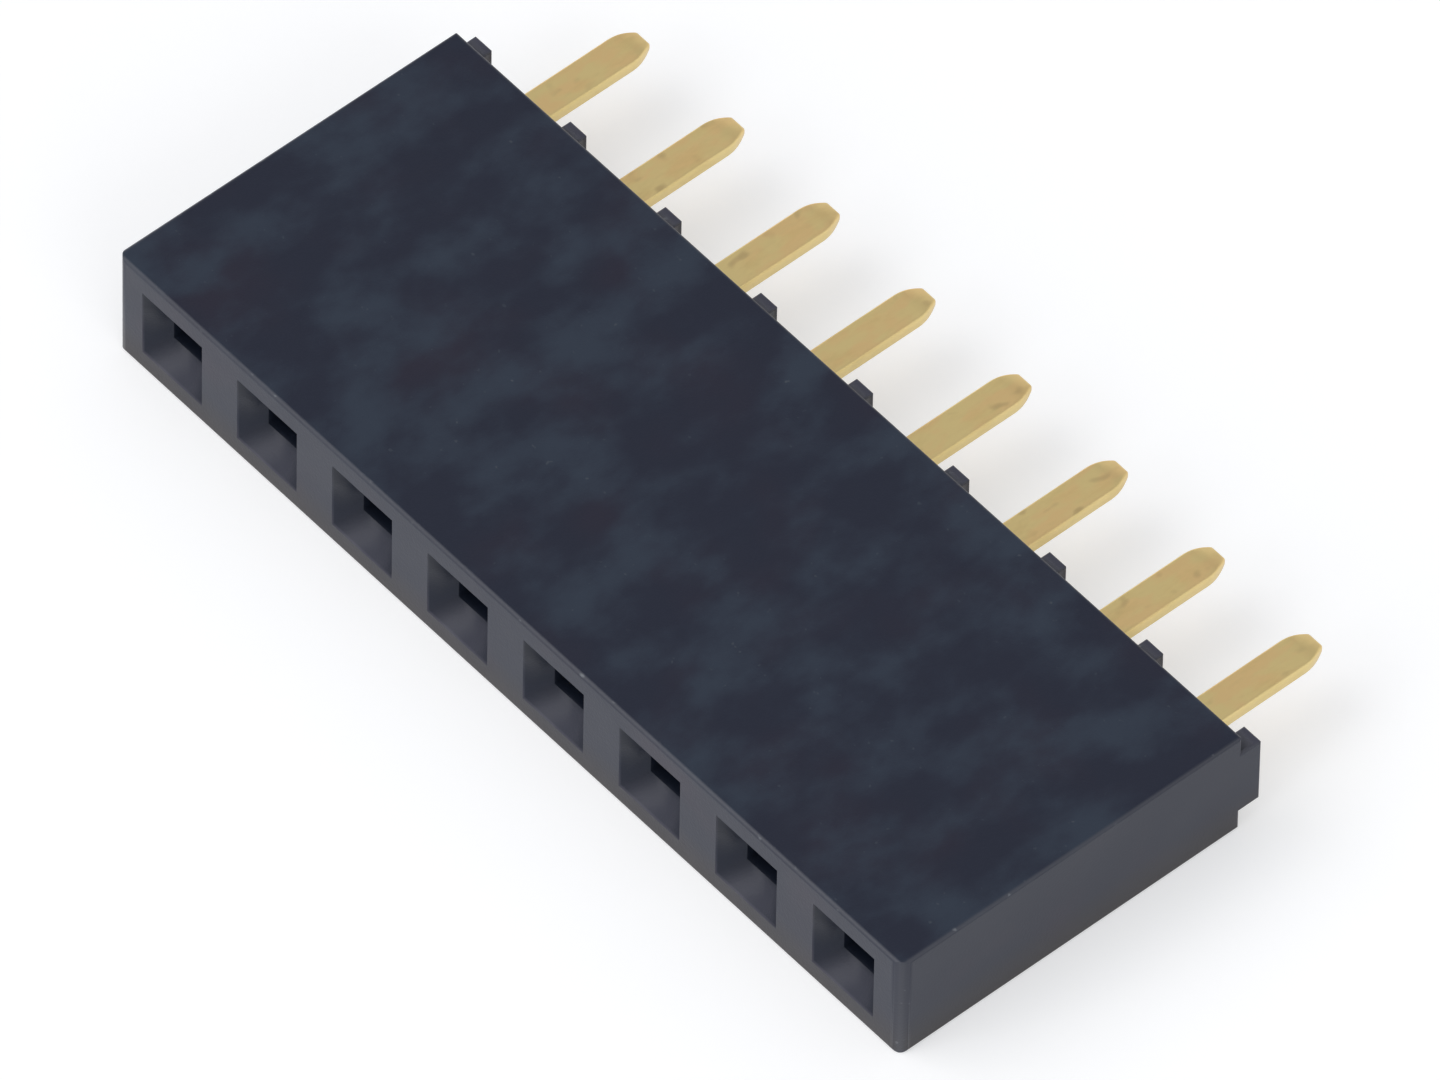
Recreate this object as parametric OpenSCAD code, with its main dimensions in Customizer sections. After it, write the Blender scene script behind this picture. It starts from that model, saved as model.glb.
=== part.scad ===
// Female pin header: one moulded housing and a row of stamped, folded contacts.
// Millimetres. X runs along the row, Y from the mating face to the solder tails,
// and Z through the thickness. The part lies on one of its broad faces, and its
// origin is the bottom centre of the box around the whole part.

/* [Row] */
// Distance between neighbouring contacts
pitch = 2.54; // [2.4:0.01:3.6]
// How many contacts the row has
contact_count = 8; // [2:1:20]
// Middle of the last contact to the end face of the housing
end_margin = 1.5; // [1.4:0.01:3]

/* [Housing] */
// Thickness between the two broad faces
body_t = 2.5; // [2.35:0.05:4]
// Height from the mating face to the recessed solder face
body_h = 7.8; // [7.6:0.05:12]
// Radius of the corners between the end faces and the mating face
mating_r = 0.26; // [0.05:0.01:0.35]
// Radius of the corners between the end faces and the solder face
solder_r = 0.08; // [0.05:0.01:0.2]
// Radius of the edges round the broad faces
edge_r = 0.08; // [0.03:0.01:0.15]

/* [Standoff ribs] */
// How far the ribs stand out from the solder face
rib_h = 0.45; // [0.2:0.05:1.2]
// Width of a rib along the row
rib_w = 0.46; // [0.3:0.01:0.6]
// Step from a broad face of the housing to the side of a rib
rib_inset = 0.47; // [0.2:0.01:0.7]
// Radius of the edges of a rib
rib_edge_r = 0.05; // [0.02:0.01:0.1]

/* [Pin entry] */
// Width of the square lead-in funnel at the mating face
funnel_w = 1.6; // [1.3:0.01:1.9]
// Depth of the funnel
funnel_d = 0.47; // [0.3:0.01:0.9]
// Width of the square pin hole at the funnel's foot
hole_w = 1; // [0.8:0.01:1.2]
// Length of the straight pin hole
hole_l = 0.6; // [0.3:0.01:0.9]

/* [Contact chamber] */
// Clearance from the contact's channel to each side wall of the chamber
chamber_gap = 0.1; // [0.05:0.01:0.15]
// Height of the chamber and the pocket through the thickness
chamber_t = 1.5; // [1.46:0.01:1.7]
// Step on each side from the chamber out to the pocket
pocket_step = 0.1; // [0.05:0.01:0.15]
// Length of the pocket, from its shoulder to the solder face
pocket_l = 2.05; // [1.7:0.05:2.6]

/* [Contact strip] */
// Thickness of the metal strip
strip_t = 0.28; // [0.2:0.01:0.3]
// Inside radius of the folds and of the jog
fold_r = 0.12; // [0.08:0.01:0.14]
// Slope of the jog that lifts the tail to the middle of the thickness
jog_angle = 50; // [40:1:60]

/* [Contact base] */
// Width of the base plate and over the two folded walls
channel_w = 1.5; // [1.4:0.01:1.65]
// Length of the folded channel
channel_l = 1.1; // [0.6:0.05:1.6]
// Relief slot between the channel and the shoulders
relief_l = 0.15; // [0.1:0.01:0.3]
// How far a shoulder overlaps the step that stops the contact
shoulder_grip = 0.05; // [0.02:0.01:0.05]
// Length of the shoulders, from their front to the start of the barb
shoulder_l = 0.3; // [0.2:0.01:0.45]
// Length of the barb's ramp
barb_l = 0.3; // [0.15:0.01:0.35]
// Length of the flat on the barb that bears on the pocket wall
barb_flat_l = 0.1; // [0.05:0.01:0.15]

/* [Spring beams] */
// Width of a beam through the thickness
beam_w = 0.66; // [0.5:0.01:0.7]
// Gap between the two beams where they grip a pin
pinch_gap = 0.4; // [0.25:0.01:0.55]
// Inside radius of the bend at a beam's root
root_r = 1.2; // [0.6:0.05:2]
// Inside radius of the bend that grips the pin
pinch_r = 0.4; // [0.25:0.01:0.6]
// Slope of the beam's flared tip
flare_angle = 20; // [12:1:24]
// Straight length of the flared tip
flare_l = 0.45; // [0.3:0.01:0.6]
// Clearance from the beam tips to the front wall of the chamber
tip_gap = 0.25; // [0.1:0.01:0.5]

/* [Solder tail] */
// Width of the tail
tail_w = 0.7; // [0.5:0.01:0.9]
// Length of the tail beyond the standoff ribs
tail_l = 2.6; // [1.5:0.05:6]
// Length of the tapered tip
tip_l = 0.54; // [0.3:0.01:0.8]
// Width left at the very end of the tip
tip_w = 0.36; // [0.3:0.01:0.48]
// Length over which both faces of the tip thin towards its end
coin_l = 0.36; // [0.1:0.01:0.6]
// How much that thinning takes off each face at the very end
coin_t = 0.07; // [0.03:0.01:0.08]
// How late the taper and the thinning turn in: 1 is straight, 2 is round
tip_curve = 1.8; // [1:0.1:3]
// Number of short flat steps along the taper, and along the thinning
tip_parts = 8; // [4:1:12]

/* [Hidden] */
$fn = 48;
// Overshoot of a cutter past the face that it opens
over = 0.5;

// Housing
body_l = (contact_count - 1) * pitch + 2 * end_margin;
seat_y = body_h + rib_h;
part_y = seat_y + tail_l;
mate_y = -part_y / 2;
axis_z = body_t / 2;
floor_z = axis_z - chamber_t / 2;
chamber_w = channel_w + 2 * chamber_gap;
pocket_w = chamber_w + 2 * pocket_step;

// Stations along the contact, counted from the mating face
chamber_y = funnel_d + hole_l;
shoulder_y = body_h - pocket_l;
channel_y = shoulder_y - relief_l - channel_l;
plate_end_y = shoulder_y + shoulder_l + barb_l + barb_flat_l;

// Jog: two equal bends with a sloped straight run between them
jog_rise = axis_z - strip_t / 2 - floor_z;
bend_r = fold_r + strip_t / 2;
jog_run = (jog_rise - 2 * bend_r * (1 - cos(jog_angle))) / sin(jog_angle);
tail_y = plate_end_y + 2 * bend_r * sin(jog_angle) + jog_run * cos(jog_angle);

// Beam: it leans in from the channel wall, and its two bends and the straight run
// between them bring its inner face from the wall to half the pinch gap
tip_y = chamber_y + tip_gap;
flare_y = (pinch_r + strip_t) * sin(flare_angle) + flare_l * cos(flare_angle);
beam_reach = channel_y - (tip_y + flare_y);
beam_shift = channel_w / 2 - strip_t - pinch_gap / 2;
bends_r = root_r + pinch_r + strip_t;
beam_run = sqrt(pow(bends_r - beam_shift, 2) + pow(beam_reach, 2) - pow(bends_r, 2));
lean_angle = atan2(beam_reach, bends_r - beam_shift) - atan2(beam_run, bends_r);

function contact_x(i) = (i - (contact_count + 1) / 2) * pitch;

// A folded strip seen from its edge. Its middle line is a list of steps: [length] is a
// straight run, and [radius, angle] is a bend that turns left where the angle is above 0.
// The line is returned as places and headings, with one place for each few degrees.
bend_step = 6;
function left_of(heading) = [-sin(heading), cos(heading)];
function step_end(step, at, heading, part) = len(step) == 1
    ? at + part * step[0] * [cos(heading), sin(heading)]
    : at + sign(step[1]) * step[0] * (left_of(heading) - left_of(heading + part * step[1]));
function step_turn(step, part) = len(step) == 1 ? 0 : part * step[1];
function step_parts(step) = len(step) == 1 ? 1 : ceil(abs(step[1]) / bend_step);
function walk(steps, at, heading, i = 0) = i == len(steps) ? [] : concat(
    [for (k = [1 : step_parts(steps[i])]) let (part = k / step_parts(steps[i]))
        [step_end(steps[i], at, heading, part), heading + step_turn(steps[i], part)]],
    walk(steps, step_end(steps[i], at, heading, 1), heading + step_turn(steps[i], 1), i + 1));

// Outline of that strip. Its last places are thinner by the trims on each face.
function trim_at(trims, back) = back < len(trims) ? trims[len(trims) - 1 - back] : 0;
function strip_side(line, side, trims) = [for (i = [0 : len(line) - 1])
    line[i][0] + side * (strip_t / 2 - trim_at(trims, len(line) - 1 - i)) * left_of(line[i][1])];
function reversed(list) = [for (i = [len(list) - 1 : -1 : 0]) list[i]];
function strip_outline(steps, at, heading, trims = []) =
    let (line = concat([[at, heading]], walk(steps, at, heading)))
    concat(strip_side(line, 1, trims), reversed(strip_side(line, -1, trims)));

// How far the tip has turned in, from 0 at its start to 1 at its end
function tip_turn(part) = pow(part, tip_curve);

// Rectangle with true round corners, centred on the origin. Its two corners on the far
// side, where Y is highest, have a radius of their own.
module rounded_rect(a, b, r, far_r) {
    square([a - 2 * max(r, far_r), b], center = true);
    for (y = [-1, 1]) let (side_r = y < 0 ? r : far_r) {
        for (x = [-1, 1]) translate([x * (a / 2 - side_r), y * (b / 2 - side_r)]) circle(side_r);
        translate([side_r - a / 2, min(0, y * b / 2)]) square([a - 2 * side_r, b / 2]);
    }
    translate([-a / 2, r - b / 2]) square([a, b - r - far_r]);
}

// Block between two corners. Its edges along X, Y and Z have the radii r, and those along
// Z on its far side have the radius far_r.
module rounded_block(low, high, r, far_r) {
    s = high - low;
    translate((low + high) / 2) intersection() {
        rotate([90, 0, 90]) linear_extrude(s.x, center = true) rounded_rect(s.y, s.z, r.x, r.x);
        rotate([90, 0, 0]) linear_extrude(s.y, center = true) rounded_rect(s.x, s.z, r.y, r.y);
        linear_extrude(s.z, center = true) rounded_rect(s.x, s.y, r.z, far_r);
    }
}

// Outline of the funnel, from outside its mouth to its foot
module funnel_outline() {
    slope = (funnel_w - hole_w) / 2 / funnel_d;
    mouth = funnel_w / 2 + over * slope;
    foot = hole_w / 2;
    polygon([[-mouth, -over], [mouth, -over], [foot, funnel_d], [-foot, funnel_d]]);
}

// Square funnel with four flat sloped walls, and the pin hole behind it
module pin_entry() {
    intersection() {
        translate([0, 0, -funnel_w]) linear_extrude(2 * funnel_w) funnel_outline();
        rotate([0, 90, 0]) translate([0, 0, -funnel_w]) linear_extrude(2 * funnel_w) funnel_outline();
    }
    translate([-hole_w / 2, funnel_d - over / 2, -hole_w / 2]) cube([hole_w, hole_l + over, hole_w]);
}

// Everything that one contact position cuts from the housing
module contact_cavity() {
    pin_entry();
    translate([-chamber_w / 2, chamber_y, -chamber_t / 2])
        cube([chamber_w, body_h + over - chamber_y, chamber_t]);
    translate([-pocket_w / 2, shoulder_y, -chamber_t / 2])
        cube([pocket_w, pocket_l + over, chamber_t]);
}

// Standoff rib whose left side is at x
module rib(x) {
    rounded_block([x, body_h - over, rib_inset], [x + rib_w, seat_y, body_t - rib_inset],
        [1, 1, 1] * rib_edge_r, rib_edge_r);
}

module housing() {
    color([0.18, 0.19, 0.22]) translate([0, mate_y, 0]) difference() {
        union() {
            rounded_block([-body_l / 2, 0, 0], [body_l / 2, body_h, body_t],
                [edge_r, edge_r, mating_r], solder_r);
            rib(-body_l / 2);
            for (i = [1 : contact_count - 1]) rib((contact_x(i) + contact_x(i + 1) - rib_w) / 2);
            rib(body_l / 2 - rib_w);
        }
        for (i = [1 : contact_count]) translate([contact_x(i), 0, axis_z]) contact_cavity();
    }
}

// Shoulders that stop at the pocket's step, and barbs that bear on its side walls.
// Drawn in the plane of the base plate from the front of the shoulders.
module base_outline() {
    grip = chamber_w / 2 + shoulder_grip;
    barb = pocket_w / 2;
    ramp = shoulder_l + barb_l;
    half = [[0, 0], [grip, 0], [grip, shoulder_l], [barb, ramp],
        [barb, ramp + barb_flat_l], [0, ramp + barb_flat_l]];
    polygon(half);
    mirror([1, 0]) polygon(half);
}

// Section of the folded channel, with its lower face on Y = 0
module channel_section() {
    wall_top = (chamber_t + beam_w) / 2;
    fold_out = fold_r + strip_t;
    intersection() {
        difference() {
            translate([0, wall_top]) rounded_rect(channel_w, 2 * wall_top, fold_out, fold_out);
            translate([0, wall_top]) rounded_rect(channel_w - 2 * strip_t,
                2 * (wall_top - strip_t), fold_r, fold_r);
        }
        translate([-channel_w / 2, 0]) square([channel_w, wall_top]);
    }
}

// Spring beam on the +X side. Its strip starts at the rear end of the channel wall, so
// that wall and beam are one piece, and runs forward from there: it leans in to the pin
// and flares out again at its tip.
module beam() {
    steps = [[channel_l], [root_r + strip_t / 2, -lean_angle], [beam_run],
        [pinch_r + strip_t / 2, lean_angle + flare_angle], [flare_l]];
    start = [(channel_w - strip_t) / 2, channel_l];
    translate([0, 0, (chamber_t - beam_w) / 2]) linear_extrude(beam_w)
        polygon(strip_outline(steps, start, -90));
}

// One half of the tail's outline, from above, of the given length. Its taper starts
// gently at the full width and steepens up to the end.
module tail_half(end_y) {
    taper = (tail_w - tip_w) / 2;
    polygon(concat([[0, 0], [tail_w / 2, 0]],
        [for (k = [0 : tip_parts]) let (part = k / tip_parts)
            [tail_w / 2 - taper * tip_turn(part), end_y - tip_l * (1 - part)]],
        [[0, end_y]]));
}

// Solder tail, from inside the base plate over the jog to the tip, which tapers in width
// and thins in the same gentle way
module tail() {
    level_l = part_y - coin_l - tail_y;
    steps = concat([[plate_end_y - shoulder_y], [bend_r, jog_angle], [jog_run],
        [bend_r, -jog_angle], [level_l]], [for (k = [1 : tip_parts]) [coin_l / tip_parts]]);
    thinning = [for (k = [1 : tip_parts]) coin_t * tip_turn(k / tip_parts)];
    end_y = part_y - shoulder_y;
    intersection() {
        rotate([90, 0, 90]) translate([0, 0, -tail_w / 2]) linear_extrude(tail_w)
            polygon(strip_outline(steps, [0, strip_t / 2], 0, thinning));
        linear_extrude(chamber_t) {
            tail_half(end_y);
            mirror([1, 0]) tail_half(end_y);
        }
    }
}

module contact(i) {
    color([0.80, 0.69, 0.44]) translate([contact_x(i), mate_y, floor_z]) {
        // Folded channel with the two beams
        translate([0, channel_y, 0]) {
            translate([0, channel_l, 0]) rotate([90, 0, 0])
                linear_extrude(channel_l) channel_section();
            beam();
            mirror([1, 0, 0]) beam();
        }
        // Flat neck between the relief slots, from inside the channel to the shoulders
        neck_w = channel_w - 2 * (fold_r + strip_t);
        neck_l = channel_l + relief_l + shoulder_l;
        translate([-neck_w / 2, channel_y, 0]) cube([neck_w, neck_l, strip_t]);
        // Base plate, and the strip that leaves it as the solder tail
        translate([0, shoulder_y, 0]) {
            linear_extrude(strip_t) base_outline();
            tail();
        }
    }
}

housing();
for (i = [1 : contact_count])
    contact(i);
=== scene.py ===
# %% [markdown]
# # A female pin header and its finish
# The part is a strip of dark moulded plastic. One side has eight square sockets for pins,
# and the other has eight flat, gold-flashed tails that are soldered into a board. It is
# only 21 mm long, so the whole script works in tenths and hundredths of a millimetre.
# The solids come ready from the CAD model and stay where they are. This script makes their
# edges soft, gives them their surfaces, and sets up the camera, the table and the light.

# %% Load the CAD model
import math
import bmesh
import bpy
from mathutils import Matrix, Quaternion, Vector


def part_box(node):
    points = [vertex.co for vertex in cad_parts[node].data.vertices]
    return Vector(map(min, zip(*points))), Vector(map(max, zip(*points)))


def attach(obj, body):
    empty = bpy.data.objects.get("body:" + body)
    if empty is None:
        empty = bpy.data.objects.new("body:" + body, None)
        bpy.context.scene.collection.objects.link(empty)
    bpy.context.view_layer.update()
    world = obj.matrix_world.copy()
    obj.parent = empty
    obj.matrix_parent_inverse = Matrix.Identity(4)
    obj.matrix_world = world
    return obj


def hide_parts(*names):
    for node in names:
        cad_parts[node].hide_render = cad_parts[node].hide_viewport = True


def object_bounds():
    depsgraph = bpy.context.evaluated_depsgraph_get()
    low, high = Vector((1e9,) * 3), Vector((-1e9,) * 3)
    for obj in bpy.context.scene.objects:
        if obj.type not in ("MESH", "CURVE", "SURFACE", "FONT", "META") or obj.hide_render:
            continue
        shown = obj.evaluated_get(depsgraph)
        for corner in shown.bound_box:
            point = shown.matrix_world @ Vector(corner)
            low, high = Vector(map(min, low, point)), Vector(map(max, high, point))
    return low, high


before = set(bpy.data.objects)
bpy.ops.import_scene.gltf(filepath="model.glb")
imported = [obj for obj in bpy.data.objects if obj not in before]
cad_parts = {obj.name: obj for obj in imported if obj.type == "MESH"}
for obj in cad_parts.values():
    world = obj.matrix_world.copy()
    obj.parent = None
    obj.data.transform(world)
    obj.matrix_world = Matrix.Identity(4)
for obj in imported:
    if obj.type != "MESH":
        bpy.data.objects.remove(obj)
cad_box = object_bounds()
MM = 0.001
cad_size = cad_box[1] - cad_box[0]
print("CAD nodes:", len(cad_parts), "size in mm:", [round(s / MM, 2) for s in cad_size])

# %% [markdown]
# ## The camera
# The photo looks down at the strip from its right front corner, and the strip runs across
# the picture from the upper left to the lower right. Its long edges stay almost parallel,
# which means a long lens far away. The view was fitted to the strip's edges, sockets and
# tails in the photo. A camera could be turned with three angles, but it is easier to read
# as a place on a sphere round the point that it aims at, plus a small roll.

# %% Place the camera
view_azimuth = math.radians(48.19)
view_elevation = math.radians(50.95)
view_roll = math.radians(1.14)
view_distance = 600 * MM
view_aim = Vector((0.178, -0.656, 0.706)) * MM
lens_mm = 864.5
sensor_mm = 36
nearest_seen = 0.05
farthest_seen = 20


def direction(azimuth, elevation):
    """Unit vector from the part towards a place seen at these angles, 0 being the front."""
    level = math.cos(elevation)
    return Vector((math.sin(azimuth) * level, -math.cos(azimuth) * level, math.sin(elevation)))


towards_camera = direction(view_azimuth, view_elevation)
camera_data = bpy.data.cameras.new("photo_camera")
camera_data.lens = lens_mm
camera_data.sensor_width = sensor_mm
camera_data.clip_start = nearest_seen
camera_data.clip_end = farthest_seen
camera = bpy.data.objects.new("photo_camera", camera_data)
camera.location = view_aim + towards_camera * view_distance
camera.rotation_mode = "QUATERNION"
level_camera = (-towards_camera).to_track_quat("-Z", "Y")
camera.rotation_quaternion = Quaternion(towards_camera, view_roll) @ level_camera
bpy.context.collection.objects.link(camera)
bpy.context.scene.camera = camera
print("camera at, in mm:", [round(c / MM, 1) for c in camera.location])

# %% [markdown]
# ## Nodes with fewer lines
# Every material below is a small tree of nodes. One helper adds a node, sets its options
# and fills its inputs, either with a value or with a link from another node's output.
# Inputs are given by name, or by number where a node has several of one name. Two more
# helpers stand for the nodes that are used most: a step of arithmetic, and a ramp that
# turns any value into a mask between 0 and 1.

# %% Helpers for nodes
def add_node(tree, kind, inputs=None, **options):
    """Adds a shader node of this kind. An input that is a socket is linked to it."""
    node = tree.nodes.new("ShaderNode" + kind)
    for option, value in options.items():
        setattr(node, option, value)
    for name, value in (inputs or {}).items():
        if isinstance(value, bpy.types.NodeSocket):
            tree.links.new(value, node.inputs[name])
        else:
            node.inputs[name].default_value = value
    return node


def maths(tree, operation, first, second=None):
    """One step of arithmetic on values or links."""
    inputs = {0: first}
    if second is not None:
        inputs[1] = second
    return add_node(tree, "Math", inputs, operation=operation).outputs[0]


def ramp(tree, value, start, end, low=0.0, high=1.0):
    """Goes from low to high while the value goes from start to end, and holds beyond."""
    node = add_node(tree, "MapRange", {"Value": value, "From Min": start, "From Max": end,
                                       "To Min": low, "To Max": high})
    return node.outputs[0]


# %% [markdown]
# ## The table
# The part lies on a white table that rises into a white wall all round, like the paper
# sweep of a product studio. One mesh does it: a disc whose rim is drawn out and up in a
# few steps. It is shown to the camera and in reflections a little brighter than the light
# alone makes it, so that it reads as white paper and still holds the soft shadow.
# Seen from underneath the paper is clear, so the lower face of the part can be looked at.

# %% Shape the table
floor_radius = 1.5
floor_sides = 96
floor_gap = 0.01 * MM
# Each step of the wall goes this far outward and upward, in metres.
wall_steps = [(0.20, 0.05), (0.12, 0.12), (0.05, 0.20), (0.0, 0.63)]


def make_table():
    """A disc just under the part, with a wall drawn up from its rim."""
    shape = bmesh.new()
    bmesh.ops.create_circle(shape, cap_ends=True, segments=floor_sides,
                            radius=floor_radius)
    rim = [edge for edge in shape.edges if edge.is_boundary]
    radius = floor_radius
    for outward, upward in wall_steps:
        drawn = bmesh.ops.extrude_edge_only(shape, edges=rim)["geom"]
        corners = [item for item in drawn if isinstance(item, bmesh.types.BMVert)]
        rim = [item for item in drawn if isinstance(item, bmesh.types.BMEdge)]
        wider = (radius + outward) / radius
        radius += outward
        bmesh.ops.scale(shape, vec=(wider, wider, 1), verts=corners)
        bmesh.ops.translate(shape, vec=(0, 0, upward), verts=corners)
    bmesh.ops.recalc_face_normals(shape, faces=shape.faces)
    if shape.faces[0].normal.z < 0:
        bmesh.ops.reverse_faces(shape, faces=shape.faces)
    bmesh.ops.translate(shape, vec=(0, 0, -floor_gap), verts=shape.verts)
    mesh = bpy.data.meshes.new("table")
    shape.to_mesh(mesh)
    shape.free()
    mesh.shade_smooth()
    table = bpy.data.objects.new("table", mesh)
    bpy.context.collection.objects.link(table)
    return table


table = make_table()
print("table faces:", len(table.data.polygons))

# %% Paper of the table
paper_colour = (0.62, 0.62, 0.62, 1)
paper_lift = 0.47


def paper_material():
    """White paper, lifted for the camera and for reflections, and clear from below."""
    material = bpy.data.materials.new("paper")
    material.use_nodes = True
    tree = material.node_tree
    tree.nodes.clear()
    path = add_node(tree, "LightPath").outputs
    seen = maths(tree, "MAXIMUM", path["Is Camera Ray"], path["Is Glossy Ray"])
    seen = maths(tree, "MAXIMUM", seen, path["Is Transmission Ray"])
    lift = maths(tree, "MULTIPLY", seen, paper_lift)
    paper = add_node(tree, "BsdfDiffuse", {"Color": paper_colour})
    glow = add_node(tree, "Emission", {"Strength": lift})
    lit = add_node(tree, "AddShader", {0: paper.outputs[0], 1: glow.outputs[0]})
    clear = add_node(tree, "BsdfTransparent")
    side = add_node(tree, "NewGeometry")
    both = add_node(tree, "MixShader", {0: side.outputs["Backfacing"], 1: lit.outputs[0],
                                        2: clear.outputs[0]})
    add_node(tree, "OutputMaterial", {"Surface": both.outputs[0]})
    return material


table.data.materials.append(paper_material())
print("paper colour:", paper_colour[:3], "lift:", paper_lift)

# %% [markdown]
# ## The light
# Small dark parts are shot in even light from large soft boxes, or they turn into black
# shapes with hard glints. Large lamps stand well outside the camera's reach: two at the
# front, one at the right and a weak one overhead. The cool grey world fills the rest, and
# it is what the broad face mirrors towards the camera, so it stays darker than the paper.

# %% Lamps and world
# For each lamp: azimuth and elevation in degrees, distance in metres, and watts.
lamps = {
    "left_front_box": (-45, 50, 1.35, 5.0),
    "low_front_box": (-5, 25, 1.35, 6.0),
    "right_box": (75, 26, 1.35, 4.5),
    "overhead_box": (20, 82, 1.35, 0.6),
}
lamp_width = 0.9
world_colour = (0.485, 0.50, 0.535, 1)


def add_lamp(name, azimuth_deg, elevation_deg, distance, watts):
    """A square soft box that faces the part."""
    data = bpy.data.lights.new(name, "AREA")
    data.energy = watts
    data.size = lamp_width
    lamp = bpy.data.objects.new(name, data)
    away = direction(math.radians(azimuth_deg), math.radians(elevation_deg))
    lamp.location = away * distance
    lamp.rotation_mode = "QUATERNION"
    lamp.rotation_quaternion = (-away).to_track_quat("-Z", "Y")
    bpy.context.collection.objects.link(lamp)


for name, settings in lamps.items():
    add_lamp(name, *settings)
world = bpy.data.worlds.new("studio")
world.use_nodes = True
world.node_tree.nodes["Background"].inputs["Color"].default_value = world_colour
bpy.context.scene.world = world
bpy.context.scene.view_settings.view_transform = "Standard"
print("lamps:", ", ".join(lamps))

# %% [markdown]
# ## Soft edges
# A CAD solid has knife edges where two faces meet. A mould is cut with a small tool and a
# stamping wears its die, so each real edge is a little round and catches a thin line of
# light. The mesh of a CAD node is never touched, so the pieces here are copies of it. The
# copies are first stitched, because the imported mesh is loose triangles. Flat areas are then
# dissolved to single faces, and the outer edges that are still sharp get a fine bevel. The
# inner corners are left alone, and so are the round edges that the solid already has.
# A Bevel modifier could do this too, but the operator can choose its edges one by one, and
# it can work in rounds that give each stretch of a piece a width of its own. It may leave
# the faces in another order on each run, so the finished mesh is sorted by place, and each
# run gives the same mesh. A weighted normal modifier keeps flat faces flat in the light.

# %% Round the edges of a mesh
stitch_distance = 0.0005 * MM


def round_edges(shape, width, segments, sharp_angle, low_y, high_y):
    """Bevels the sharp outer edges whose middle lies between two places along Y."""
    sharp = [edge for edge in shape.edges
             if edge.is_manifold and edge.is_convex and edge.calc_face_angle() > sharp_angle
             and low_y < (edge.verts[0].co.y + edge.verts[1].co.y) / 2 < high_y]
    bmesh.ops.bevel(shape, geom=sharp, offset=width, offset_type="OFFSET", segments=segments,
                    profile=0.5, affect="EDGES", clamp_overlap=True, material=-1)
    return len(sharp)


def cut_across(shape, place_y):
    """Cuts every edge and face at one place along Y, so that a bevel can end there."""
    everything = shape.verts[:] + shape.edges[:] + shape.faces[:]
    bmesh.ops.bisect_plane(shape, geom=everything, dist=stitch_distance,
                           plane_co=(0, place_y, 0), plane_no=(0, 1, 0))


# %% Put a mesh in order
def corner_places(item):
    """The places of an item's corners, in an order that doesn't depend on the run."""
    corners = [item] if isinstance(item, bmesh.types.BMVert) else item.verts
    return sorted(tuple(corner.co) for corner in corners)


def put_in_order(shape):
    """Sorts a mesh by place, because the bevel may leave it in another order on each run."""
    for items in (shape.verts, shape.edges, shape.faces):
        ranks = {item: rank for rank, item in enumerate(sorted(items, key=corner_places))}
        items.sort(key=ranks.get)
        items.index_update()


# %% Copy, stitch and bevel a CAD node
flat_limit = math.radians(0.5)


def soft_copy(node_name, piece_name, rounds):
    """A finished copy of a CAD node. Rounds of bevels go from high Y to low Y."""
    shape = bmesh.new()
    shape.from_mesh(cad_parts[node_name].data)
    bmesh.ops.remove_doubles(shape, verts=shape.verts, dist=stitch_distance)
    bmesh.ops.dissolve_limit(shape, angle_limit=flat_limit, verts=shape.verts,
                             edges=shape.edges)
    for settings in rounds[1:]:
        cut_across(shape, settings["high_y"])
    sharp = [round_edges(shape, **settings) for settings in rounds]
    put_in_order(shape)
    open_edges = sum(not edge.is_manifold for edge in shape.edges)
    mesh = bpy.data.meshes.new(piece_name)
    shape.to_mesh(mesh)
    shape.free()
    mesh.shade_smooth()
    piece = bpy.data.objects.new(piece_name, mesh)
    bpy.context.collection.objects.link(piece)
    even = piece.modifiers.new("even_light", "WEIGHTED_NORMAL")
    even.keep_sharp = True
    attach(piece, "root")
    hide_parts(node_name)
    print(piece_name, "faces:", len(mesh.polygons), "sharp edges:", sharp,
          "open edges:", open_edges)
    return piece


# %% [markdown]
# ### The housing
# The housing is one moulding: a bar with eight square funnels that lead the pins in, a
# chamber behind each, and nine small ribs that keep it off the board. Its mould was cut
# with small tools, so one fine bevel all over is enough. The larger radius of its upright
# corners at the mating face is part of the CAD solid.

# %% Soften the housing
# A place in metres that lies past both ends of any piece.
beyond = 1.0
housing_rounds = [
    {"width": 0.03 * MM, "segments": 2, "sharp_angle": math.radians(25),
     "low_y": -beyond, "high_y": beyond},
]
housing = soft_copy("housing", "header_housing", housing_rounds)

# %% [markdown]
# ### The contacts
# Each contact is stamped and folded from one strip of sheet. Two spring beams inside the
# housing grip the pin, and a flat tail comes out at the back. The tails get a wider bevel
# than the hidden part, because they were tumbled and handled bare. The width changes
# inside the housing, where nobody sees it.

# %% Soften the contacts
tail_start_y = 2.2 * MM
contact_sharp = math.radians(35)
contact_rounds = [
    {"width": 0.06 * MM, "segments": 3, "sharp_angle": contact_sharp,
     "low_y": tail_start_y, "high_y": beyond},
    {"width": 0.025 * MM, "segments": 2, "sharp_angle": contact_sharp,
     "low_y": -beyond, "high_y": tail_start_y},
]
contact_nodes = sorted(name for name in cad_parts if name.startswith("contact_"))
contacts = []
for node_name in contact_nodes:
    piece_name = node_name.replace("contact", "header_contact")
    contacts.append(soft_copy(node_name, piece_name, contact_rounds))
print("contacts:", len(contacts))
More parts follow.
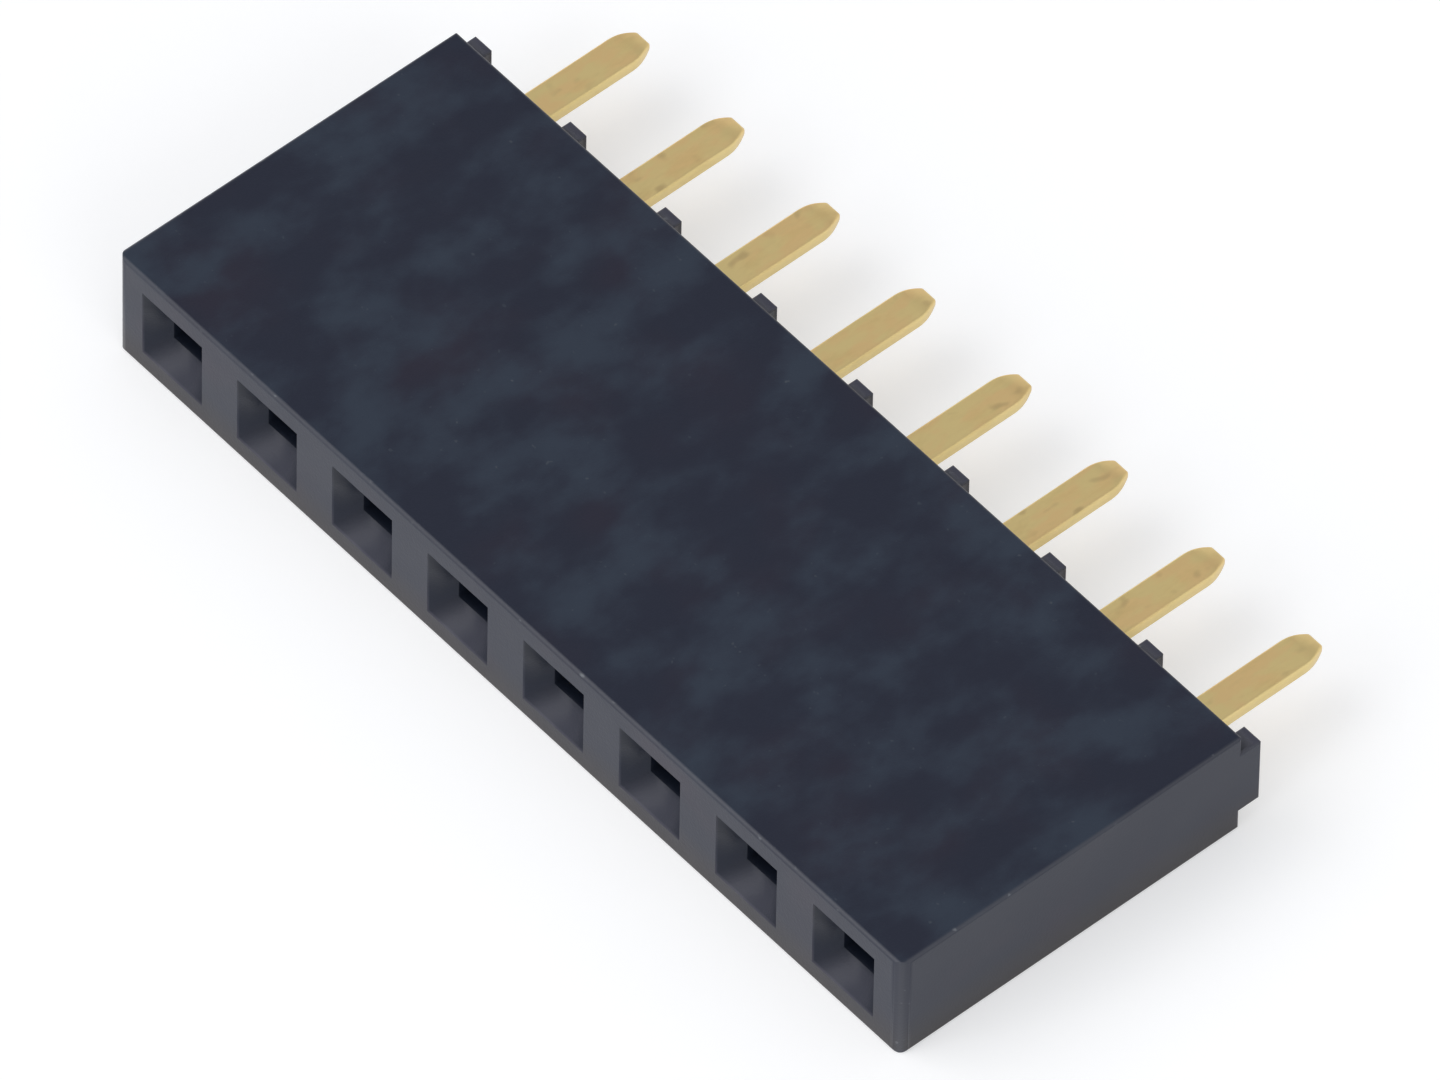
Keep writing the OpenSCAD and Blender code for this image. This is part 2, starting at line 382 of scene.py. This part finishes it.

# %% [markdown]
# ## Effects that both materials share
# Plastic and metal show three kinds of change over their surface: soft patches of another
# tone, a fine grain that can be felt, and lighter edges, which are rubbed on the plastic and
# partly a painted highlight on the metal. They could be painted as pictures, but noise needs
# no unwrapping and stays sharp from any distance. Each is built once as a node group with
# named inputs, and each material sets its own sizes.

# %% Start a node group
def new_group(name, inputs, output):
    """An empty node group with these sockets, and its input and output nodes."""
    group = bpy.data.node_groups.new(name, "ShaderNodeTree")
    for socket, kind in inputs:
        group.interface.new_socket(socket, in_out="INPUT", socket_type="NodeSocket" + kind)
    group.interface.new_socket(output, in_out="OUTPUT", socket_type="NodeSocketFloat")
    return group, group.nodes.new("NodeGroupInput"), group.nodes.new("NodeGroupOutput")


def noise(tree, place, detail, scale=1.0):
    """Soft noise between 0 and 1. The place comes already divided by the grain's size."""
    node = add_node(tree, "TexNoise", {"Vector": place, "Scale": scale, "Detail": detail})
    return node.outputs[0]


def vector_maths(tree, operation, first, second):
    """One step of arithmetic on two vectors, with the node's outputs."""
    return add_node(tree, "VectorMath", {0: first, 1: second}, operation=operation).outputs


# %% [markdown]
# ### Soft patches
# Noise gives patches of no fixed shape. Its coordinates are divided by the size of a
# patch, which may differ along X, Y and Z, so that the patches can be drawn out as streaks.
# Two limits then say how much of the surface is covered, and how soft the borders are.

# %% Group for soft patches
def patches_group():
    """Builds the group once, for every material to share."""
    group, given, result = new_group(
        "soft_patches",
        [("Place", "Vector"), ("Size", "Vector"), ("Shift", "Vector"), ("Detail", "Float"),
         ("Low", "Float"), ("High", "Float")],
        "Mask")
    given = given.outputs
    scaled = vector_maths(group, "DIVIDE", given["Place"], given["Size"])[0]
    moved = vector_maths(group, "ADD", scaled, given["Shift"])[0]
    mask = add_node(group, "MapRange", {"Value": noise(group, moved, given["Detail"]),
                                        "From Min": given["Low"],
                                        "From Max": given["High"]},
                    interpolation_type="SMOOTHSTEP")
    group.links.new(mask.outputs[0], result.inputs["Mask"])
    return group


soft_patches = patches_group()
print("group:", soft_patches.name, "nodes:", len(soft_patches.nodes))

# %% [markdown]
# ### Fine grain
# A mould is eroded by sparks and leaves thousands of tiny round pits. A stamped strip
# carries the fine lines of the rolling mill along its length. Both are noise of a small
# size: equal on all axes for the pits, and long on one axis for the lines. A finer
# layer of the same noise is added, because real grain has no single size.

# %% Group for fine grain
finer = 0.45
finer_share = 0.4


def grain_group():
    """Builds the group once. Its height feeds a Bump node in the material."""
    group, given, result = new_group(
        "fine_grain", [("Place", "Vector"), ("Size", "Vector")], "Height")
    given = given.outputs
    scaled = vector_maths(group, "DIVIDE", given["Place"], given["Size"])[0]
    coarse = noise(group, scaled, 1.0)
    fine = noise(group, scaled, 0.0, scale=1 / finer)
    total = maths(group, "ADD", coarse, maths(group, "MULTIPLY", fine, finer_share))
    group.links.new(total, result.inputs["Height"])
    return group


fine_grain = grain_group()
print("group:", fine_grain.name, "nodes:", len(fine_grain.nodes))

# %% [markdown]
# ### Rubbed and highlighted edges
# Handling rubs edges first. The Bevel node gives the normal that a rounder edge would
# have, and where it differs from the real one, an edge is near. The two normals are
# compared by their dot product, which is 1 where they agree. Noise breaks the line up,
# because nothing wears evenly. The plastic uses the mask for wear, and the metal partly
# for a painted highlight along its edges.

# %% Group for rubbed edges
normals_agree = 0.985
normals_differ = 0.88
wear_starts = 0.35
wear_full = 0.65
bevel_samples = 6


def edges_group():
    """Builds the group once. Its mask is 1 near an edge, for wear and for a painted highlight.
    """
    group, given, result = new_group(
        "edge_rub_and_highlight",
        [("Place", "Vector"), ("Width", "Float"), ("Patch", "Vector")], "Mask")
    given = given.outputs
    normal = add_node(group, "NewGeometry").outputs["Normal"]
    rounder = add_node(group, "Bevel", {"Radius": given["Width"]}, samples=bevel_samples)
    facing = vector_maths(group, "DOT_PRODUCT", normal, rounder.outputs[0])["Value"]
    near = ramp(group, facing, normals_agree, normals_differ)
    scaled = vector_maths(group, "DIVIDE", given["Place"], given["Patch"])[0]
    uneven = ramp(group, noise(group, scaled, 2.0), wear_starts, wear_full)
    mask = maths(group, "MULTIPLY", near, uneven)
    group.links.new(mask, result.inputs["Mask"])
    return group


edge_rub_and_highlight = edges_group()
print("group:", edge_rub_and_highlight.name, "nodes:", len(edge_rub_and_highlight.nodes))

# %% Use a group and mix colours in a material
# The Mix node has inputs for each kind of data. These are the ones for colours.
mix_first = 6
mix_second = 7
mix_result = 2


def use_group(tree, group, place, settings):
    """Places a shared group in a material, with this material's own values."""
    inputs = {"Place": place, **settings}
    return add_node(tree, "Group", inputs, node_tree=group).outputs[0]


def mix_colours(tree, mask, first, second, share=1.0):
    """Blends two colours, each a value or a link, by a mask at part of its strength."""
    if share < 1.0:
        mask = maths(tree, "MULTIPLY", mask, share)
    node = add_node(tree, "Mix", {0: mask, mix_first: first, mix_second: second},
                    data_type="RGBA")
    return node.outputs[mix_result]


# %% [markdown]
# ## The plastic
# The housing is a glass-filled nylon kind of plastic, nearly black with a blue cast. In
# the photo its broad face is mottled: soft, cooler clouds a millimetre or two across, with
# a few pale flecks in them. Wider patches are tinted a little warmer. The mould's sparks left
# fine pits all over, and the edges have tiny pale nicks and were rubbed in the bag. All of
# it is noise in the part's own coordinates, so that it stays in place on every side.

# %% Patterns in the plastic
clouds = {"Size": (1.1 * MM, 1.6 * MM, 1.0 * MM), "Shift": (0.9, 14.0, 28.3),
          "Detail": 5.0, "Low": 0.40, "High": 0.70}
tints = {"Size": (2.2 * MM, 2.6 * MM, 2.0 * MM), "Shift": (9.7, 2.3, 5.8),
         "Detail": 2.0, "Low": 0.45, "High": 0.75}
flecks = {"Size": (0.13 * MM, 0.13 * MM, 0.13 * MM), "Shift": (0.4, 5.5, 8.1),
          "Detail": 1.0, "Low": 0.72, "High": 0.84}
nicks = {"Size": (0.20 * MM, 0.20 * MM, 0.20 * MM), "Shift": (6.1, 3.3, 0.9),
         "Detail": 1.0, "Low": 0.68, "High": 0.76}
plastic_rub = {"Width": 0.10 * MM, "Patch": (0.35 * MM, 0.35 * MM, 0.35 * MM)}
pits = {"Size": (0.045 * MM, 0.045 * MM, 0.045 * MM)}
pit_depth = 0.003 * MM


def plastic_patterns(tree, place):
    """The masks that are strewn over the whole housing, and the height of its grain."""
    return {
        "clouds": use_group(tree, soft_patches, place, clouds),
        "tints": use_group(tree, soft_patches, place, tints),
        "flecks": use_group(tree, soft_patches, place, flecks),
        "nicks": use_group(tree, soft_patches, place, nicks),
        "rub_and_highlight": use_group(tree, edge_rub_and_highlight, place, plastic_rub),
        "pits": use_group(tree, fine_grain, place, pits),
    }


print("clouds in mm:", [round(size / MM, 2) for size in clouds["Size"]])

# %% [markdown]
# ### Places on the housing
# Other changes follow the shape. The two broad faces are darker than all the rest: partly
# because the rest was shaped by smoother parts of the mould, and partly as painted light,
# with the sides painted lighter where they catch more light. The sides turn warm towards
# the lower edge, and lighter where they face up, partly as dust and partly as painted light
# from above. The walls of the funnels are painted darker than the mating face as painted
# shade, and the upright ones most. Past the funnels hardly any light comes back, and the
# plastic there is painted almost black as painted shade. Each place is a mask, made from
# where a point lies or which way it faces.

# %% Broad faces, sides and round edges
middle_z = cad_size.z / 2
broad_from = middle_z - 0.08 * MM
broad_to = middle_z - 0.02 * MM
warm_from = 0.9 * MM
warm_to = 0.1 * MM
# The Z part of the normal is 0 on an upright face and 1 on one that faces up.
# Faces turned up are painted lighter, partly as dust and partly as painted light from above.
dust_and_light_from = 0.2
dust_and_light_to = 0.7
# The largest part of the normal is 1 on a square face and less on a round edge.
square_face = 1.0
round_face = 0.80


def side_masks(tree, height, normal):
    """Where the faces are broad, low, turned up or sideways, or round at an edge."""
    from_middle = maths(tree, "ABSOLUTE", maths(tree, "SUBTRACT", height, middle_z))
    facing = add_node(tree, "SeparateXYZ", {0: normal}).outputs
    tilt = [maths(tree, "ABSOLUTE", facing[axis]) for axis in "XYZ"]
    squarest = maths(tree, "MAXIMUM", maths(tree, "MAXIMUM", tilt[0], tilt[1]), tilt[2])
    return {
        "broad": ramp(tree, from_middle, broad_from, broad_to),
        "broad_rim": maths(tree, "GREATER_THAN", from_middle, broad_from),
        "low": ramp(tree, height, warm_from, warm_to),
        "upward": ramp(tree, facing["Z"], dust_and_light_from, dust_and_light_to),
        "sideways": tilt[0],
        "round": ramp(tree, squarest, square_face, round_face),
    }


print("broad faces lie from the middle, in mm:", round(middle_z / MM, 3))

# %% Funnels and what lies behind them
mating_y = cad_box[0].y
wall_from = mating_y + 0.01 * MM
wall_to = mating_y + 0.04 * MM
# Past these places along Y the inside is painted almost black, as painted shade.
deep_from = mating_y + 0.40 * MM
deep_to = mating_y + 0.52 * MM
solder_y = 2.375 * MM
inner_y = solder_y - 0.1 * MM
inner_x = cad_size.x / 2 - 0.3 * MM
# Upright walls get the whole painted shade and level ones part of it, by the X part of the
# normal.
level_wall = 0.55
upright_from = 0.3
upright_to = 0.6


def funnel_masks(tree, where, sideways):
    """What lies inside the outer skin, and where the walls of the funnels and the holes get
    painted shade.
    """
    between = maths(tree, "LESS_THAN", maths(tree, "ABSOLUTE", where["X"]), inner_x)
    ahead = maths(tree, "LESS_THAN", where["Y"], inner_y)
    inside = maths(tree, "MULTIPLY", between, ahead)
    behind = ramp(tree, where["Y"], wall_from, wall_to)
    upright = ramp(tree, sideways, upright_from, upright_to, low=level_wall)
    wall = maths(tree, "MULTIPLY", maths(tree, "MULTIPLY", behind, upright), inside)
    deep_shade = maths(tree, "MULTIPLY", ramp(tree, where["Y"], deep_from, deep_to), inside)
    return {"inside": inside, "wall": wall, "deep_shade": deep_shade}


print("dark inside along Y, in mm:", round(deep_to / MM, 3), "to", round(inner_y / MM, 3))

# %% [markdown]
# ### Colours of the plastic
# The colours are laid over one another from the ground up, as a painter would: first the
# sides with their warm places, the places that face up painted lighter as dust and painted
# light, and the painted shade in the funnels, then the broad face with its clouds and
# flecks, and last a painted highlight on the round outer edges, the rubbed edges and the
# nicks, which lie on top of both. The clouds are also a touch glossier than the rest.

# %% Plastic of the housing
# The side colours are lighter than the broad ones: partly a smoother mould finish, partly
# painted light where the sides catch more light.
broad_dark = (0.0132, 0.0165, 0.0319, 1)
broad_cool = (0.0260, 0.0360, 0.0558, 1)
broad_warm = (0.0180, 0.0165, 0.0309, 1)
lit_side_grey = (0.0310, 0.0350, 0.0530, 1)
side_violet = (0.0390, 0.0360, 0.0540, 1)
side_warm = (0.0420, 0.0385, 0.0420, 1)
# Dust and painted light from above, on sides that face up.
side_dust_and_light = (0.0620, 0.0620, 0.0860, 1)
# Painted shade for the walls of the funnels, darkest on the upright ones.
painted_wall_shade = (0.0100, 0.0135, 0.0260, 1)
# Painted shade, almost black, for the chambers past the funnels.
deep_painted_shade = (0.0082, 0.0118, 0.0225, 1)
pale_fleck = (0.060, 0.070, 0.085, 1)
# Lighter grey for the rubbed edges and for the painted highlight on round outer edges.
rubbed_and_highlight_grey = (0.070, 0.073, 0.088, 1)
nick_pale = (0.150, 0.160, 0.175, 1)
round_highlight_share = 0.7
plastic_rub_share = 0.2
plastic_shine = 0.28
plain_roughness = 0.41
cloud_roughness = 0.38


def side_colour(tree, pattern, side, funnel):
    """The colour of everything but the broad faces."""
    colour = mix_colours(tree, pattern["tints"], lit_side_grey, side_violet)
    colour = mix_colours(tree, side["low"], colour, side_warm)
    # Places that face up get dust and painted light from above.
    colour = mix_colours(tree, side["upward"], colour, side_dust_and_light)
    # Painted shade on the walls of the funnels.
    colour = mix_colours(tree, funnel["wall"], colour, painted_wall_shade)
    # Painted shade past the funnels.
    return mix_colours(tree, funnel["deep_shade"], colour, deep_painted_shade)


def broad_colour(tree, pattern):
    """The mottled colour of the broad faces."""
    colour = mix_colours(tree, pattern["tints"], broad_dark, broad_warm)
    colour = mix_colours(tree, pattern["clouds"], colour, broad_cool)
    fleck_in_cloud = maths(tree, "MULTIPLY", pattern["flecks"], pattern["clouds"])
    return mix_colours(tree, fleck_in_cloud, colour, pale_fleck)


def worn_and_highlit_colour(tree, colour, pattern, side, funnel):
    """The colour with a painted highlight on its round outer edges, and the wear on them."""
    outside = maths(tree, "SUBTRACT", 1.0, funnel["inside"])
    outside = maths(tree, "MAXIMUM", outside, side["broad_rim"])
    outer_edge = maths(tree, "MULTIPLY", side["round"], outside)
    # A painted highlight on every round outer edge.
    colour = mix_colours(tree, outer_edge, colour, rubbed_and_highlight_grey, round_highlight_share)
    colour = mix_colours(tree, pattern["rub_and_highlight"], colour, rubbed_and_highlight_grey, plastic_rub_share)
    nick_on_edge = maths(tree, "MULTIPLY", outer_edge, pattern["nicks"])
    return mix_colours(tree, nick_on_edge, colour, nick_pale)


# %% Put the plastic together
def dress(tree, colour, roughness, height, depth):
    """Links a colour, a roughness and a grain to the material's shader."""
    shader = tree.nodes["Principled BSDF"]
    bump = add_node(tree, "Bump", {"Strength": 1.0, "Distance": depth, "Height": height})
    tree.links.new(colour, shader.inputs["Base Color"])
    tree.links.new(roughness, shader.inputs["Roughness"])
    tree.links.new(bump.outputs[0], shader.inputs["Normal"])
    return shader


def plastic_material():
    """The finished plastic, with every mask and colour in its place."""
    material = bpy.data.materials.new("housing_plastic")
    material.use_nodes = True
    tree = material.node_tree
    place = add_node(tree, "TexCoord").outputs["Object"]
    where = add_node(tree, "SeparateXYZ", {0: place}).outputs
    normal = add_node(tree, "NewGeometry").outputs["Normal"]
    pattern = plastic_patterns(tree, place)
    side = side_masks(tree, where["Z"], normal)
    funnel = funnel_masks(tree, where, side["sideways"])
    colour = mix_colours(tree, side["broad"], side_colour(tree, pattern, side, funnel),
                         broad_colour(tree, pattern))
    colour = worn_and_highlit_colour(tree, colour, pattern, side, funnel)
    roughness = ramp(tree, pattern["clouds"], 0.0, 1.0, plain_roughness, cloud_roughness)
    shader = dress(tree, colour, roughness, pattern["pits"], pit_depth)
    shader.inputs["Specular IOR Level"].default_value = plastic_shine
    return material


housing_plastic = plastic_material()
housing.data.materials.clear()
housing.data.materials.append(housing_plastic)
print("plastic nodes:", len(housing_plastic.node_tree.nodes))

# %% [markdown]
# ## The metal
# Each contact is stamped from bronze strip, folded, and plated with a thin gold flash. The
# flat faces show faint lines along the strip, warmer patches, a few brown spots and some
# dull smudges from handling. The same three groups make them, drawn out along the tail,
# because the strip was rolled in that direction.

# %% Patterns in the metal
smudges = {"Size": (0.35 * MM, 0.9 * MM, 0.5 * MM), "Shift": (2.2, 4.9, 6.3),
           "Detail": 3.0, "Low": 0.45, "High": 0.75}
warmth = {"Size": (0.4 * MM, 0.8 * MM, 0.4 * MM), "Shift": (5.5, 0.6, 2.9),
          "Detail": 2.0, "Low": 0.40, "High": 0.62}
spots = {"Size": (0.30 * MM, 0.45 * MM, 0.30 * MM), "Shift": (7.7, 1.8, 3.6),
         "Detail": 1.0, "Low": 0.62, "High": 0.80}
metal_rub = {"Width": 0.05 * MM, "Patch": (0.2 * MM, 0.5 * MM, 0.2 * MM)}
lines = {"Size": (0.022 * MM, 1.1 * MM, 0.022 * MM)}
line_depth = 0.0012 * MM


def metal_patterns(tree, place):
    """The masks that are strewn over the contacts, and the height of their lines."""
    return {
        "smudges": use_group(tree, soft_patches, place, smudges),
        "warmth": use_group(tree, soft_patches, place, warmth),
        "spots": use_group(tree, soft_patches, place, spots),
        "rub_and_highlight": use_group(tree, edge_rub_and_highlight, place, metal_rub),
        "lines": use_group(tree, fine_grain, place, lines),
    }


print("lines in mm:", [round(size / MM, 3) for size in lines["Size"]])

# %% [markdown]
# ### Places on a contact
# The die shears the sides of the strip, and they come out duller than its faces. Towards
# its end the tail turns a little browner. The end itself was cut from its carrier after
# plating, so it shows the metal beneath.

# %% Sheared sides, brown tip and bare end
tail_end_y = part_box("contact_1")[1].y
bare_depth = 0.03 * MM
# The cut end is fully bare over this share of the depth.
bare_full_share = 0.2
brown_length = 0.5 * MM
sheared_from = 0.3
sheared_to = 0.9


def contact_masks(tree, place):
    """Where a contact is sheared, brown or bare."""
    along = add_node(tree, "SeparateXYZ", {0: place}).outputs["Y"]
    normal = add_node(tree, "NewGeometry").outputs["Normal"]
    sideways = maths(tree, "ABSOLUTE", add_node(tree, "SeparateXYZ", {0: normal}).outputs["X"])
    return {
        "sheared": ramp(tree, sideways, sheared_from, sheared_to),
        "brown": ramp(tree, along, tail_end_y - brown_length, tail_end_y),
        "bare": ramp(tree, along, tail_end_y - bare_depth,
                     tail_end_y - bare_full_share * bare_depth),
    }


print("tails end along Y, in mm:", round(tail_end_y / MM, 3))

# %% Metal of the contacts
gold_colour = (0.95, 0.735, 0.325, 1)
gold_warm = (0.98, 0.69, 0.31, 1)
gold_smudged = (0.66, 0.49, 0.22, 1)
# Lighter gold for the edges: partly wear, partly a painted highlight.
gold_edge_highlight = (0.98, 0.83, 0.46, 1)
gold_sheared = (0.74, 0.60, 0.28, 1)
gold_brown = (0.72, 0.53, 0.24, 1)
spot_brown = (0.55, 0.38, 0.18, 1)
bare_metal = (0.42, 0.34, 0.20, 1)
smudge_share = 0.5
spot_share = 0.5
metal_rub_highlight_share = 0.4
sheared_share = 0.8
brown_share = 0.7
satin_roughness = 0.34
smudged_roughness = 0.50


def metal_material():
    """The finished gold flash, from the clean colour up to the bare end."""
    material = bpy.data.materials.new("contact_metal")
    material.use_nodes = True
    tree = material.node_tree
    place = add_node(tree, "TexCoord").outputs["Object"]
    pattern = metal_patterns(tree, place)
    zone = contact_masks(tree, place)
    colour = mix_colours(tree, pattern["warmth"], gold_colour, gold_warm)
    colour = mix_colours(tree, pattern["smudges"], colour, gold_smudged, smudge_share)
    colour = mix_colours(tree, pattern["spots"], colour, spot_brown, spot_share)
    # Lighter gold along the edges: partly wear, partly a painted highlight.
    colour = mix_colours(tree, pattern["rub_and_highlight"], colour, gold_edge_highlight, metal_rub_highlight_share)
    colour = mix_colours(tree, zone["sheared"], colour, gold_sheared, sheared_share)
    colour = mix_colours(tree, zone["brown"], colour, gold_brown, brown_share)
    colour = mix_colours(tree, zone["bare"], colour, bare_metal)
    roughness = ramp(tree, pattern["smudges"], 0.0, 1.0, satin_roughness, smudged_roughness)
    shader = dress(tree, colour, roughness, pattern["lines"], line_depth)
    shader.inputs["Metallic"].default_value = 1.0
    return material


contact_metal = metal_material()
for contact in contacts:
    contact.data.materials.clear()
    contact.data.materials.append(contact_metal)
print("metal nodes:", len(contact_metal.node_tree.nodes))

# %% Finish
bpy.context.view_layer.update()
